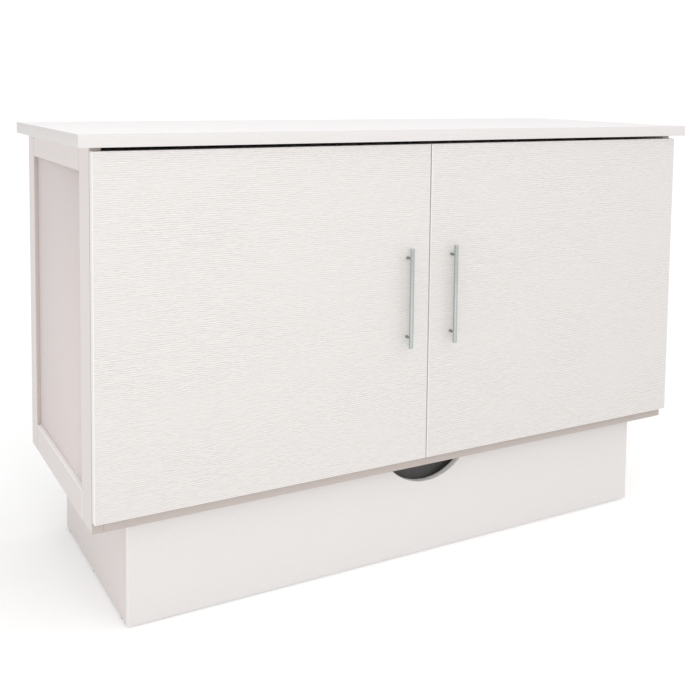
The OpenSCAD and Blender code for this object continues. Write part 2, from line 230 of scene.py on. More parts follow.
def laminate(name, axis, across, color, emboss):
    """White laminate: fine broken grain lines run along one axis and follow each other along the other; the
    lines' darker and lighter sides and the darker pores are painted shade and painted highlight of the
    embossed relief.
    """
    s = Shader(name, color, 0.55, Specular_IOR_Level=0.4)
    lines = s.node("ShaderNodeTexWave", wave_type="BANDS", bands_direction=across)
    wander = {"Scale": GRAIN_LINES, "Distortion": 3.2, "Detail": 2.5, "Detail Scale": 0.6}
    for socket, value in wander.items():
        lines.inputs[socket].default_value = value
    s.link(s.coord, lines.inputs["Vector"])
    breaks = s.ramp(s.noise(s.scaled(stretched(axis, 55, 230)), 1.0, 2.0, 0.5), 0.38, 0.60)
    pores = s.ramp(s.noise(s.scaled(stretched(axis, 130, 950)), 1.0, 2.0, 0.6), 0.54, 0.70)
    patch = s.ramp(s.noise(s.scaled(stretched(axis, 5, 9)), 1.0, 2.0, 0.5), 0.3, 0.7)
    strength = s.math("MULTIPLY", breaks, s.math("ADD", s.math("MULTIPLY", patch, 0.5), 0.5))
    dash = lines.outputs["Fac"]
    height = s.math("MULTIPLY", s.math("SUBTRACT", dash, s.math("MULTIPLY", pores, 0.4)), strength)
    # Painted shade and painted highlight on the two sides of each embossed grain line, and painted shade in
    # the pores, standing in for the relief's shading.
    shade = tuple(c * (1 - 0.22 * emboss) for c in color)
    light = tuple(min(1, c * (1 + 0.20 * emboss)) for c in color)
    pore_painted_shade = tuple(c * (1 - 0.12 * emboss) for c in color)
    tone = s.mix(strength, color, s.mix(dash, shade, light))
    tone = s.mix(s.math("MULTIPLY", pores, 0.6), tone, pore_painted_shade)
    rough = s.math("ADD", s.math("MULTIPLY", dash, -0.12), 0.6)
    return s.finish(tone, rough, s.bump(height, 0.38 * MM * emboss, 0.9))


def edge_band(name, color):
    """The smooth plastic band glued around a board's edges."""
    s = Shader(name, color, 0.42, Specular_IOR_Level=0.45)
    grain = s.noise(s.scaled((140, 140, 140)), 1.0, 4.0, 0.6)
    tone = s.mix(s.ramp(grain, 0.35, 0.7), tuple(c * 0.965 for c in color), color)
    return s.finish(tone, s.math("ADD", s.math("MULTIPLY", grain, 0.14), 0.36), s.bump(grain, 0.08 * MM, 0.5))


def melamine(name, color):
    """Plain grey board inside the drawer, with a faint print grain and scuffs."""
    s = Shader(name, color, 0.5, Specular_IOR_Level=0.4)
    grain = s.noise(s.scaled((6, 90, 90)), 1.0, 4.0, 0.6)
    scuff = s.noise(s.scaled((9, 9, 9)), 1.0, 6.0, 0.65)
    tone = s.mix(s.ramp(grain, 0.35, 0.7), tuple(c * 0.86 for c in color), tuple(c * 1.1 for c in color))
    rough = s.math("ADD", s.math("MULTIPLY", scuff, 0.25), 0.38)
    return s.finish(tone, rough, s.bump(grain, 0.12 * MM, 0.5))


def timber(name, axis, light, dark):
    """Clear-finished softwood with growth rings drawn out along the board."""
    s = Shader(name, light, 0.45, Specular_IOR_Level=0.35, Coat_Weight=0.12, Coat_Roughness=0.35)
    wob = s.noise(s.scaled(stretched(axis, 2.0, 9)), 1.0, 3.0, 0.5)
    rings = s.node("ShaderNodeTexNoise")
    rings.inputs["Scale"].default_value = 1.0
    rings.inputs["Detail"].default_value = 5.0
    rings.inputs["Distortion"].default_value = 0.6
    s.link(s.scaled(stretched(axis, 3.5, 75)), rings.inputs["Vector"])
    field = s.math("ADD", rings.outputs["Fac"], s.math("MULTIPLY", wob, 0.6))
    lines = s.ramp(s.math("FRACT", s.math("MULTIPLY", field, TIMBER_RINGS), 0.0), 0.15, 0.95)
    fibre = s.noise(s.scaled(stretched(axis, 12, 900)), 1.0, 2.0, 0.6)
    tone = s.mix(s.math("MULTIPLY", lines, 0.55), light, dark)
    tone = s.mix(s.math("MULTIPLY", s.ramp(fibre, 0.5, 0.75), 0.25), tone, tuple(c * 0.6 for c in dark))
    rough = s.math("ADD", s.math("MULTIPLY", fibre, 0.2), 0.36)
    return s.finish(tone, rough, s.bump(fibre, 0.12 * MM, 0.7))


def brushed(name, color, axis, roughness=0.28, depth=0.03):
    """Satin steel with fine brush lines along one axis."""
    s = Shader(name, color, roughness, 1.0)
    lines = s.noise(s.scaled(stretched(axis, 30, 3500)), 1.0, 2.0, 0.6)
    smudge = s.noise(s.scaled((30, 30, 30)), 1.0, 4.0, 0.6)
    dull, bright = tuple(c * 0.88 for c in color), tuple(min(1, c * 1.08) for c in color)
    tone = s.mix(s.ramp(lines, 0.3, 0.7), dull, bright)
    rough = s.math("ADD", s.math("MULTIPLY", smudge, 0.14), roughness - 0.07)
    return s.finish(tone, rough, s.bump(lines, depth * MM, 0.6))


def zinc(name, color):
    """Zinc-plated steel: pale spangle and a soft blue cast."""
    s = Shader(name, color, 0.36, 1.0)
    cell = s.node("ShaderNodeTexVoronoi", feature="F1")
    cell.inputs["Scale"].default_value = 260.0
    s.link(s.coord, cell.inputs["Vector"])
    tone = s.mix(0.16, color, cell.outputs["Color"])
    tone = s.mix(s.ramp(s.noise(s.coord, 40, 4), 0.4, 0.75), tone, tuple(c * 0.8 for c in color))
    rough = s.math("ADD", s.math("MULTIPLY", s.noise(s.coord, 90, 3), 0.2), 0.25)
    return s.finish(tone, rough, s.bump(s.noise(s.coord, 500, 2), 0.03 * MM, 0.4))


def powder(name, color):
    """Powder coat with its fine orange-peel skin."""
    s = Shader(name, color, 0.42, Specular_IOR_Level=0.5)
    peel = s.noise(s.coord, 900, 2.0, 0.5)
    wear = s.ramp(s.noise(s.coord, 25, 5, 0.6), 0.55, 0.8)
    tone = s.mix(s.math("MULTIPLY", wear, 0.25), color, tuple(c * 1.6 + 0.02 for c in color))
    return s.finish(tone, s.math("ADD", s.math("MULTIPLY", peel, 0.15), 0.36), s.bump(peel, 0.05 * MM, 0.7))


def rubber(name, color):
    """Moulded rubber, dull, with a faint dusty mottle."""
    s = Shader(name, color, 0.75, Specular_IOR_Level=0.3)
    dust = s.noise(s.coord, 60, 6, 0.7)
    tone = s.mix(s.ramp(dust, 0.45, 0.85), color, tuple(c * 1.7 + 0.015 for c in color))
    rough = s.math("ADD", s.math("MULTIPLY", dust, 0.2), 0.62)
    return s.finish(tone, rough, s.bump(s.noise(s.coord, 1400, 2), 0.04 * MM, 0.6))


def knit(name, color, pitch=2.2 * MM):
    """Stretch-knit ticking: rows of small loops, with a soft sheen."""
    s = Shader(name, color, 0.9, Specular_IOR_Level=0.2, Sheen_Weight=0.35, Sheen_Roughness=0.5)
    k = 1.0 / pitch
    loops = s.node("ShaderNodeTexVoronoi", feature="SMOOTH_F1")
    loops.inputs["Scale"].default_value = k
    loops.inputs["Randomness"].default_value = 0.35
    s.link(s.coord, loops.inputs["Vector"])
    soft = s.noise(s.coord, 18, 4, 0.6)
    yarn = s.noise(s.coord, k * 2.5, 2, 0.6)
    tone = s.mix(s.ramp(loops.outputs["Distance"], 0.15, 0.75), color, tuple(c * 0.86 for c in color))
    tone = s.mix(s.ramp(soft, 0.35, 0.75), tone, tuple(c * 0.955 for c in color))
    height = s.math("SUBTRACT", s.math("MULTIPLY", yarn, 0.35), loops.outputs["Distance"])
    return s.finish(tone, None, s.bump(height, 0.5 * MM, 0.7))


def twill(name, color):
    """Cloth with close diagonal ribs, for the felt, the side border and the tape."""
    s = Shader(name, color, 0.85, Specular_IOR_Level=0.25, Sheen_Weight=0.2)
    wave = s.node("ShaderNodeTexWave", wave_type="BANDS", bands_direction="DIAGONAL")
    wave.inputs["Scale"].default_value = 260.0
    wave.inputs["Distortion"].default_value = 0.8
    s.link(s.coord, wave.inputs["Vector"])
    tone = s.mix(s.ramp(wave.outputs["Fac"], 0.2, 0.8), tuple(c * 0.82 for c in color), color)
    return s.finish(tone, None, s.bump(wave.outputs["Fac"], 0.3 * MM, 0.6))


WHITE = (0.645, 0.622, 0.604)
WHITE_PLAIN = (0.660, 0.637, 0.628)
# Copies of the same white laminate for faces turned from the light: their pinker tone is painted shade, and
# the inset's darker copy is painted shade in its recess.
WHITE_SIDE_SHADE_TONE = (0.685, 0.638, 0.624)
WHITE_INSET_SHADE_TONE = (0.648, 0.585, 0.573)
M = {
    "white_x": laminate("laminate_grain_x", "X", "Z", WHITE, 1.0),
    "white_y": laminate("laminate_side_shade_y", "Y", "Z", WHITE_SIDE_SHADE_TONE, 0.5),
    "white_z": laminate("laminate_side_shade_z", "Z", "Y", WHITE_SIDE_SHADE_TONE, 0.5),
    "inset_z": laminate("laminate_inset_shade_z", "Z", "Y", WHITE_INSET_SHADE_TONE, 0.5),
    "plain_x": laminate("laminate_plain_x", "X", "Z", WHITE_PLAIN, 0.22),
    # The top's much paler copy of the white is painted light, for the face lit from above.
    "top_lit_x": laminate("laminate_top_lit_x", "X", "Y", (0.885, 0.87, 0.87), 0.4),
    "band": edge_band("edge_band_white", (0.77, 0.75, 0.735)),
    # Painted highlight: a paler band for the upward ledge lit from above.
    "band_painted_highlight": edge_band("edge_band_painted_highlight", (0.93, 0.91, 0.90)),
    # Painted shadow: the band darkened for the strip under the leaves and for the front stiles' edges beside
    # the leaves.
    "band_painted_shadow": edge_band("edge_band_painted_shadow", (0.465, 0.408, 0.380)),
    # Painted shade: a tan band, partly the colour of a bare edge and partly the shade on edges under and
    # inside the cabinet.
    "band_painted_shade": edge_band("edge_band_painted_shade", (0.53, 0.475, 0.445)),
    "felt": twill("grey_felt", (0.17, 0.165, 0.165)),
    "drawer": melamine("drawer_melamine", (0.26, 0.262, 0.27)),
    "frame_x": timber("deck_timber_x", "X", (0.70, 0.50, 0.30), (0.52, 0.32, 0.16)),
    "frame_z": timber("deck_timber_z", "Z", (0.70, 0.50, 0.30), (0.52, 0.32, 0.16)),
    "slat": timber("slat_timber_x", "X", (0.78, 0.60, 0.39), (0.62, 0.42, 0.23)),
    "handle": brushed("handle_steel", (0.45, 0.495, 0.485), "Z", 0.11, 0.006),
    "post": brushed("handle_post_steel", (0.30, 0.31, 0.32), "Y"),
    "zinc": zinc("fitting_zinc", (0.60, 0.61, 0.63)),
    "powder": powder("leg_powder_coat", (0.045, 0.046, 0.05)),
    "rubber": rubber("black_rubber", (0.02, 0.02, 0.022)),
    "nylon": edge_band("wheel_nylon", (0.62, 0.62, 0.60)),
    "tread": rubber("grey_tread", (0.11, 0.11, 0.115)),
    "knit": knit("mattress_knit", (0.80, 0.79, 0.76)),
    "twill": twill("mattress_border", (0.66, 0.67, 0.69)),
    "tape": twill("mattress_tape", (0.50, 0.51, 0.54)),
}

# ---------------------------------------------------------------- mesh helpers


def new_piece(name, bm, material, body, replaces=(), smooth=None):
    """Turns a bmesh into a piece that rides on a CAD body."""
    mesh = bpy.data.meshes.new(name)
    bmesh.ops.recalc_face_normals(bm, faces=bm.faces[:])
    bm.to_mesh(mesh)
    bm.free()
    obj = bpy.data.objects.new(name, mesh)
    bpy.context.scene.collection.objects.link(obj)
    mesh.materials.append(material)
    if smooth is not None:
        mesh.shade_smooth()
        bpy.context.view_layer.objects.active = obj
        mesh.set_sharp_from_angle(angle=math.radians(smooth))
    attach(obj, body)
    if replaces:
        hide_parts(*replaces)
    return obj


def add_box(bm, low, high):
    """A box between two corners, returned as its vertices."""
    made = bmesh.ops.create_cube(bm, size=1.0)["verts"]
    low, high = Vector(low), Vector(high)
    centre, size = (low + high) / 2, high - low
    for v in made:
        v.co = Vector(v.co[i] * size[i] + centre[i] for i in range(3))
    return made


def bevelled(obj, width, segments):
    """Eased edges that stay live on the piece."""
    mod = obj.modifiers.new("eased_edges", "BEVEL")
    mod.width = width
    mod.segments = segments
    mod.limit_method = "ANGLE"
    mod.angle_limit = math.radians(30)
    mod.harden_normals = True
    obj.data.shade_smooth()
    return obj


def eased_node(node, material, width, segments, band=None):
    """A copy of a CAD board with eased edges and banded sides, which then stands for the node."""
    source = frame["nodes"][node]
    bm = bmesh.new()
    bm.from_mesh(source.data)
    bmesh.ops.remove_doubles(bm, verts=bm.verts, dist=1e-6)
    bmesh.ops.dissolve_limit(bm, angle_limit=math.radians(1), verts=bm.verts, edges=bm.edges)
    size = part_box(node)[1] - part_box(node)[0]
    thin = min(range(3), key=lambda i: size[i])
    if band:
        for f in bm.faces:
            f.normal_update()
            f.material_index = 0 if abs(f.normal[thin]) > 0.7 else 1
    obj = new_piece(node + "_eased", bm, material, source["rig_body"], (node,))
    if band:
        obj.data.materials.append(band)
    mod = bevelled(obj, width, segments).modifiers["eased_edges"]
    if band:
        mod.material = 1
    return obj


def both_ends(half, length):
    """A lathe profile whose far end mirrors its near end."""
    return half + [(r, length - h) for r, h in half[::-1]]


def lathe(bm, profile, origin, axis, segments):
    """A turned solid: profile is (radius, distance along axis) from one end to the other."""
    turn = Vector((0, 0, 1)).rotation_difference(Vector(axis)).to_matrix()
    origin = Vector(origin)
    rings = []
    for r, h in profile:
        ring = []
        for i in range(segments):
            a = 2 * math.pi * i / segments
            ring.append(bm.verts.new(origin + turn @ Vector((r * math.cos(a), r * math.sin(a), h))))
        rings.append(ring)
    for one, two in zip(rings, rings[1:]):
        for i in range(segments):
            j = (i + 1) % segments
            bm.faces.new((one[i], one[j], two[j], two[i]))
    bm.faces.new(rings[0][::-1])
    bm.faces.new(rings[-1])


# ---------------------------------------------------------------- boards


def boards():
    """The leaves, the slab and the flat boards of the cabinet and the plinth."""
    for node in ("door_left", "door_right"):
        leaf = eased_node(node, M["white_x"], 1.6 * MM, 3, M["band"]).data
        # The leaves' upward faces take the band with painted shade, for the shade under the slab.
        leaf.materials.append(M["band_painted_shade"])
        for face in leaf.polygons:
            if face.normal.z > 0.7:
                face.material_index = 2
    eased_node("drawer_front", M["plain_x"], 1.0 * MM, 3, M["band"])
    eased_node("top_panel", M["top_lit_x"], 1.0 * MM, 3, M["plain_x"])
    # The floor board's edges, the strip under the leaves, take the band with painted shadow.
    eased_node("floor_board", M["plain_x"], 0.6 * MM, 2, M["band_painted_shadow"])
    # The edges of these boards and of the plinth sides take the band with painted shade.
    for node in ("rear_rail", "top_stretcher", "back_panel", "base_back"):
        eased_node(node, M["plain_x"], 0.6 * MM, 2, M["band_painted_shade"])
    for node in ("base_left", "base_right"):
        eased_node(node, M["white_y"], 0.8 * MM, 2, M["band_painted_shade"])
    for node in ("side_inset_left", "side_inset_right"):
        eased_node(node, M["inset_z"], 0.3 * MM, 1)


def side_frames():
    """Each side frame as two stiles with two rails between them, with fine joint lines."""
    for side in ("left", "right"):
        node = "side_frame_" + side
        low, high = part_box(node)
        in_low, in_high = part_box("side_inset_" + side)
        seam = 0.15 * MM
        front, rear = (low.y, in_low.y), (in_high.y, high.y)
        between = (in_low.y + seam, in_high.y - seam)
        below, above = (low.z, in_low.z), (in_high.z, high.z)
        # Each part's faces pointing its given way take its band: painted shadow on the front stile's front
        # beside the leaves, painted shade on the rear stile's front and the upper rail's underside round the
        # recess, and a painted highlight on the lower rail's top.
        parts = {
            "front_stile": (front, (low.z, high.z), "white_z", "band_painted_shadow", (0, -1, 0)),
            "rear_stile": (rear, (low.z, high.z), "white_z", "band_painted_shade", (0, -1, 0)),
            "lower_rail": (between, below, "white_y", "band_painted_highlight", (0, 0, 1)),
            "upper_rail": (between, above, "white_y", "band_painted_shade", (0, 0, -1)),
        }
        for part, (ys, zs, mat, band, way) in parts.items():
            bm = bmesh.new()
            add_box(bm, (low.x, ys[0], zs[0]), (high.x, ys[1], zs[1]))
            for f in bm.faces:
                f.normal_update()
                f.material_index = 1 if f.normal.dot(Vector(way)) > 0.7 else 0
            obj = new_piece(f"{part}_{side}", bm, M[mat], "cabinet", (node,))
            obj.data.materials.append(M[band])
            bevelled(obj, 1.4 * MM, 3).modifiers["eased_edges"].material = 1


def drawer_boards():
    """The grey boards of the drawer."""
    for node in ("drawer_side_left", "drawer_side_right", "drawer_back", "drawer_bottom"):
        eased_node(node, M["drawer"], 0.7 * MM, 2)


def pocket_point(t):
    """A point and its outward direction, t metres along a U that starts and ends on the drawer front."""
    half, r = POCKET_W / 2, POCKET_R
    if t < POCKET_LEG:
        return (-half, t), (-1, 0)
    t -= POCKET_LEG
    if t < POCKET_ARC:
        a = t / r
        return (r - half - r * math.cos(a), POCKET_LEG + r * math.sin(a)), (-math.cos(a), math.sin(a))
    t -= POCKET_ARC
    if t < POCKET_BACK:
        return (r - half + t, POCKET_DEPTH), (0, 1)
    t -= POCKET_BACK
    if t < POCKET_ARC:
        a = t / r
        return (half - r + r * math.sin(a), POCKET_LEG + r * math.cos(a)), (math.sin(a), math.cos(a))
    return (half, max(0.0, POCKET_LEG + POCKET_ARC - t)), (1, 0)


def pull_shade_pocket():
    """A dark felt pocket fixed behind the finger pull, put there to stand in for the shade in the hollow
    behind it, with wavy folds and a hem at its foot.
    """
    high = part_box("drawer_front")[1]
    top, foot = high.z - POCKET_TOP, high.z - POCKET_FOOT
    rows, cols = 14, 84
    bm = bmesh.new()
    grid = []
    for side in (0, 1):
        sheet = []
        for i in range(rows + 1):
            t = i / rows
            hem = 0.8 * MM if t > 0.9 else 0
            line = []
            for j in range(cols + 1):
                u = j / cols
                freedom = min(1.0, 6 * u, 6 * (1 - u))
                wave = (math.sin(u * 38) + 0.5 * math.sin(u * 70 + 1)) * 1.4 * MM * t * freedom
                (x, y), (nx, ny) = pocket_point(u * POCKET_LENGTH)
                out = wave + side * (FELT_T + 2 * hem) - hem
                place = (PULL_X + x + nx * out, high.y + y + ny * out, top + (foot - top) * t)
                line.append(bm.verts.new(place))
            sheet.append(line)
        grid.append(sheet)
    for sheet in grid:
        for i in range(rows):
            for j in range(cols):
                bm.faces.new((sheet[i][j], sheet[i][j + 1], sheet[i + 1][j + 1], sheet[i + 1][j]))
    ring = [(0, j) for j in range(cols)] + [(i, cols) for i in range(rows)]
    ring += [(rows, j) for j in range(cols, 0, -1)] + [(i, 0) for i in range(rows, 0, -1)]
    for (a, b), (c, d) in zip(ring, ring[1:] + ring[:1]):
        bm.faces.new((grid[0][a][b], grid[0][c][d], grid[1][c][d], grid[1][a][b]))
    new_piece("pull_shade_pocket", bm, M["felt"], "drawer", (), 50)


# ---------------------------------------------------------------- deck, fittings, wheels, screws


def islands(node):
    """The low and high corner of every separate solid of a CAD node."""
    bm = bmesh.new()
    bm.from_mesh(frame["nodes"][node].data)
    bmesh.ops.remove_doubles(bm, verts=bm.verts, dist=1e-6)
    left, found = set(bm.verts), []
    while left:
        heap, group = [left.pop()], []
        while heap:
            v = heap.pop()
            group.append(v.co.copy())
            for e in v.link_edges:
                other = e.other_vert(v)
                if other in left:
                    left.remove(other)
                    heap.append(other)
        found.append(tuple(Vector(pick(c[i] for c in group) for i in range(3)) for pick in (min, max)))
    bm.free()
    return sorted(found, key=lambda b: tuple(b[0]))


def deck_frames():
    """Timber frames: the grain turns at each corner joint, and the edges are eased."""
    for section, (body, _) in SECTIONS.items():
        node = section + "_frame"
        low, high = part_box(node)
        bm = bmesh.new()
        bm.from_mesh(frame["nodes"][node].data)
        bmesh.ops.remove_doubles(bm, verts=bm.verts, dist=1e-6)
        bmesh.ops.dissolve_limit(bm, angle_limit=math.radians(1), verts=bm.verts, edges=bm.edges)
        side = high.x - RAIL_W
        foot, head = low.z + RAIL_W, high.z - RAIL_W
        for spot, way in (((side, 0, 0), (1, 0, 0)), ((-side, 0, 0), (1, 0, 0)),
                          ((0, 0, foot), (0, 0, 1)), ((0, 0, head), (0, 0, 1))):
            whole = bm.verts[:] + bm.edges[:] + bm.faces[:]
            bmesh.ops.bisect_plane(bm, geom=whole, plane_co=spot, plane_no=way)
        for f in bm.faces:
            c = f.calc_center_median()
            across = abs(c.x) < side and (abs(c.x) > SPINE_EDGE or c.z < foot or c.z > head)
            f.material_index = 0 if across else 1
        obj = new_piece(section + "_deck_frame", bm, M["frame_x"], body, (node,))
        obj.data.materials.append(M["frame_z"])
        bevelled(obj, 1.5 * MM, 3)


def fittings():
    """The slats, brackets, plates and pads, each with its edges eased."""
    for section in SECTIONS:
        eased_node(section + "_slats", M["slat"], 1.2 * MM, 2)
    for node in ("pivot_brackets", "head_arms", "head_fold_plates", "middle_fold_plates", "middle_brackets",
                 "foot_brackets", "catch_plates", "door_spacers", "caster_housings"):
        eased_node(node, M["zinc"], 0.45 * MM, 2)
    for node in ("base_glides", "rest_pads", "catch_magnets", "drawer_pads"):
        eased_node(node, M["rubber"], 0.5 * MM, 2)


def pins():
    """Turned pins with chamfered, dished ends in place of the plain ones."""
    for node in ("pivot_pins", "fold_pins", "rise_pins", "caster_axles"):
        bm = bmesh.new()
        for low, high in islands(node):
            r, length = (high.z - low.z) / 2, high.x - low.x
            c = min(0.8 * MM, r * 0.25)
            profile = both_ends([(r * 0.45, c * 0.6), (r * 0.6, 0), (r - c, 0), (r, c)], length)
            lathe(bm, profile, (low.x, (low.y + high.y) / 2, (low.z + high.z) / 2), (1, 0, 0), 28)
        body = frame["nodes"][node]["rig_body"]
        new_piece(node + "_turned", bm, M["zinc"], body, (node,), 30)


def wheels():
    """Casters: a dished nylon core with five studs on each face, and a soft tread with rounded shoulders."""
    for end in ("front", "rear"):
        for side in ("left", "right"):
            node = f"wheel_{end}_{side}"
            low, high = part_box(node)
            mid, r, width = (low + high) / 2, (high.z - low.z) / 2, high.x - low.x
            half = [(0.16, 1.0), (0.30, 0.4), (0.36, 1.6), (0.62, 1.6),
                    (0.68, 0.6), (0.88, 0.6), (0.96, 1.4), (1.0, 3.4)]
            profile = both_ends([(r * q, h * MM) for q, h in half], width)
            core, ring = 0.66 * r, 0.49 * r
            bm = bmesh.new()
            lathe(bm, profile, (low.x, mid.y, mid.z), (1, 0, 0), 60)
            for f in bm.faces:
                c = f.calc_center_median()
                reach = math.hypot(c.y - mid.y, c.z - mid.z)
                f.material_index = 1 if reach > core else 0
            stud = [(0.07 * r, 0), (0.09 * r, 0.4 * MM), (0.09 * r, 1.6 * MM)]
            for k in range(5):
                a = 2 * math.pi * k / 5
                y, z = mid.y + ring * math.cos(a), mid.z + ring * math.sin(a)
                for x, way in ((low.x + 0.5 * MM, 1), (high.x - 0.5 * MM, -1)):
                    lathe(bm, stud, (x, y, z), (way, 0, 0), 16)
            obj = new_piece(node + "_turned", bm, M["nylon"], node, (node,), 30)
            obj.data.materials.append(M["tread"])


def screw(bm, place, axis, r):
    """A low screw head with a cross mark, lying just proud of its board."""
    lathe(bm, [(r, 0), (r, 0.25 * MM), (r * 0.86, 0.6 * MM), (r * 0.5, 0.75 * MM)], place, axis, 20)
    turn = Vector((0, 0, 1)).rotation_difference(Vector(axis)).to_matrix().to_4x4()
    for a in (0.3, 0.3 + math.pi / 2):
        made = add_box(bm, (-r * 0.5, -r * 0.1, 0.74 * MM), (r * 0.5, r * 0.1, 0.82 * MM))
        to_place = Matrix.Translation(place) @ turn @ Matrix.Rotation(a, 4, "Z")
        bmesh.ops.transform(bm, matrix=to_place, verts=made)


def screws():
    """Rows of screws around the edge of the back panel."""
    low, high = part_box("back_panel")
    bm = bmesh.new()
    along, up = 10, 6
    for i in range(along + 1):
        x = low.x + SCREW_IN + (high.x - low.x - 2 * SCREW_IN) * i / along
        for z in (low.z + SCREW_IN, high.z - SCREW_IN):
            screw(bm, (x, high.y, z), (0, 1, 0), SCREW_R)
    for i in range(1, up):
        z = low.z + SCREW_IN + (high.z - low.z - 2 * SCREW_IN) * i / up
        for x in (low.x + SCREW_IN, high.x - SCREW_IN):
            screw(bm, (x, high.y, z), (0, 1, 0), SCREW_R)
    new_piece("back_screws", bm, M["zinc"], "cabinet", (), 30)


def leaf_stop():
    """The pale strip behind the gap between the two leaves."""
    low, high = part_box("door_left")
    bm = bmesh.new()
    start = (-STOP_HALF_W, high.y, low.z + STOP_ENDS)
    add_box(bm, start, (STOP_HALF_W, high.y + STOP_T, high.z - STOP_ENDS))
    obj = new_piece("leaf_stop_strip", bm, M["band"], "foot_section", ())
    bevelled(obj, 0.5 * MM, 2)


# ---------------------------------------------------------------- handles


def handles():
    """Bar handles: a bar with chamfered ends on two turned posts."""
    for side in ("left", "right"):
        low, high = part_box("handle_bar_" + side)
        centre = (low + high) / 2
        r = (high.x - low.x) / 2 * BAR_SLIM
        length = high.z - low.z
        chamfer = 0.8 * MM
        bm = bmesh.new()
        profile = both_ends([(r - chamfer, 0), (r, chamfer)], length)
        lathe(bm, profile, (centre.x, centre.y, low.z), (0, 0, 1), 48)
        replaced = ("handle_bar_" + side,)
        new_piece("bar_" + side, bm, M["handle"], "foot_section", replaced, 30)
        p_low, p_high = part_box("handle_posts_" + side)
        pr = (p_high.x - p_low.x) / 2
        reach = p_high.y - centre.y - r * 0.6
        profile = [(pr, 0), (pr, 1.6 * MM), (pr * 0.94, 2.0 * MM), (pr * 0.8, 2.6 * MM),
                   (pr * 0.8, reach - 2 * MM), (pr, reach)]
        bm = bmesh.new()
        for z in (p_low.z + pr, p_high.z - pr):
            lathe(bm, profile, (centre.x, p_high.y, z), (0, -1, 0), 32)
        replaced = ("handle_posts_" + side,)
        new_piece("posts_" + side, bm, M["post"], "foot_section", replaced, 30)


# ---------------------------------------------------------------- mattress


def rounded_block(size, r, step):
    """A block of evenly spaced faces, centred, with its edges rounded."""
    bm = bmesh.new()
    counts = [max(2, round(s / step)) for s in size]
    lines = [[-s / 2 + s * i / n for i in range(n + 1)] for s, n in zip(size, counts)]
    found = {}

    def vert(p):
        """The vertex at a place, made once and then shared."""
        key = tuple(round(c, 6) for c in p)
        if key not in found:
            found[key] = bm.verts.new(p)
        return found[key]

    for axis in range(3):
        u, v = [a for a in range(3) if a != axis]
        for end in (0, -1):
            for i in range(counts[u]):
                for j in range(counts[v]):
                    quad = []
                    for a, b in ((i, j), (i + 1, j), (i + 1, j + 1), (i, j + 1)):
                        p = [0.0, 0.0, 0.0]
                        p[axis], p[u], p[v] = lines[axis][end], lines[u][a], lines[v][b]
                        quad.append(vert(p))
                    bm.faces.new(quad)
    bmesh.ops.recalc_face_normals(bm, faces=bm.faces[:])
    half = [s / 2 for s in size]
    for v in bm.verts:
        core = Vector(max(-h + r, min(h - r, c)) for c, h in zip(v.co, half))
        out = v.co - core
        if out.length > 1e-9:
            v.co = core + out.normalized() * r
    return bm


def stitch(u, s):
    """How close a point of the top is to the nearest stitch line of a diamond quilt, in metres."""
    a = (u + s) / QUILT
    b = (u - s) / QUILT
    return min(abs(a - round(a)), abs(b - round(b))) * QUILT / math.sqrt(2)


def mattress_shell(size):
    """The sewn, still flat cover with x across, y along and z up, and its stitched points."""
    sx, sy, sz = size
    bm = rounded_block((sx - 2 * SIDE, sy - 2 * SIDE, sz - PUFF), COVER_R, SPACING)
    held = []
    top = (sz - PUFF) / 2
    for i, v in enumerate(bm.verts):
        rim = min(sx / 2 - abs(v.co.x), sy / 2 - abs(v.co.y))
        on_top = v.co.z > top - 1 * MM
        on_base = v.co.z < 1 * MM - top
        on_seam = rim < 10 * MM and abs(abs(v.co.z) - top + SEAM_DROP) < SEAM_BAND
        if on_base or on_seam or (on_top and (stitch(v.co.x, v.co.y) < STITCH or rim < RIM)):
            held.append(i)
        v.co.z -= PUFF / 2
    return bm, held


def inflated(bm, held, frames=20):
    """The moves of the cover blown up by cloth simulation; puffed then keeps each point within its allowance.
    """
    scene = bpy.context.scene
    mesh = bpy.data.meshes.new("cover")
    bm.to_mesh(mesh)
    obj = bpy.data.objects.new("cover", mesh)
    scene.collection.objects.link(obj)
    obj.vertex_groups.new(name="stitches").add(held, 1.0, "REPLACE")
    cloth = obj.modifiers.new("cloth", "CLOTH")
    cloth.point_cache.frame_start, cloth.point_cache.frame_end = 1, frames
    sewn = cloth.settings
    sewn.quality = 6
    sewn.mass = 0.15
    sewn.tension_stiffness = sewn.compression_stiffness = 12
    sewn.shear_stiffness = 6
    sewn.bending_stiffness = 0.3
    sewn.shrink_min = -0.03
    sewn.use_pressure = True
    sewn.uniform_pressure_force = 4
    sewn.vertex_group_mass = "stitches"
    sewn.effector_weights.gravity = 0
    scene.frame_start, scene.frame_end = 1, frames
    for f in range(1, frames + 1):
        scene.frame_set(f)
    blown = obj.evaluated_get(bpy.context.evaluated_depsgraph_get()).data
    bm.normal_update()
    moves = [blown.vertices[v.index].co - v.co for v in bm.verts]
    bpy.data.objects.remove(obj)
    scene.frame_set(1)
    return moves


def capped(value, low, high):
    """The value, kept between two limits."""
    return max(low, min(high, value))


def puffed(size):
    """The finished section: its cover filled out between the stitch lines."""
    bm, held = mattress_shell(size)
    bm.verts.index_update()
    bm.normal_update()
    moves = inflated(bm, held)
    for v, move in zip(bm.verts, moves):
        if v.normal.z > 0.6:
            rise = capped(move.z, -1 * MM, PUFF - 0.2 * MM)
            v.co += Vector((capped(move.x, -SLIP, SLIP), capped(move.y, -SLIP, SLIP), rise))
        elif v.normal.z >= -0.6:
            out = Vector((v.normal.x, v.normal.y, 0))
            reach = capped(move.dot(out), -1.5 * MM, SIDE - 0.2 * MM)
            v.co += out * reach + Vector((0, 0, capped(move.z, -1 * MM, 1 * MM)))
    return bm


def to_section(section):
    """The matrix from a cover lying flat to its section's folded place in the cabinet, and its size."""
    way = SECTIONS[section][1]
    low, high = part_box(section + "_mattress")
    centre = (low + high) / 2
    place = Matrix(((1, 0, 0, centre.x), (0, 0, way, centre.y), (0, way, 0, centre.z), (0, 0, 0, 1)))
    return place, high - low


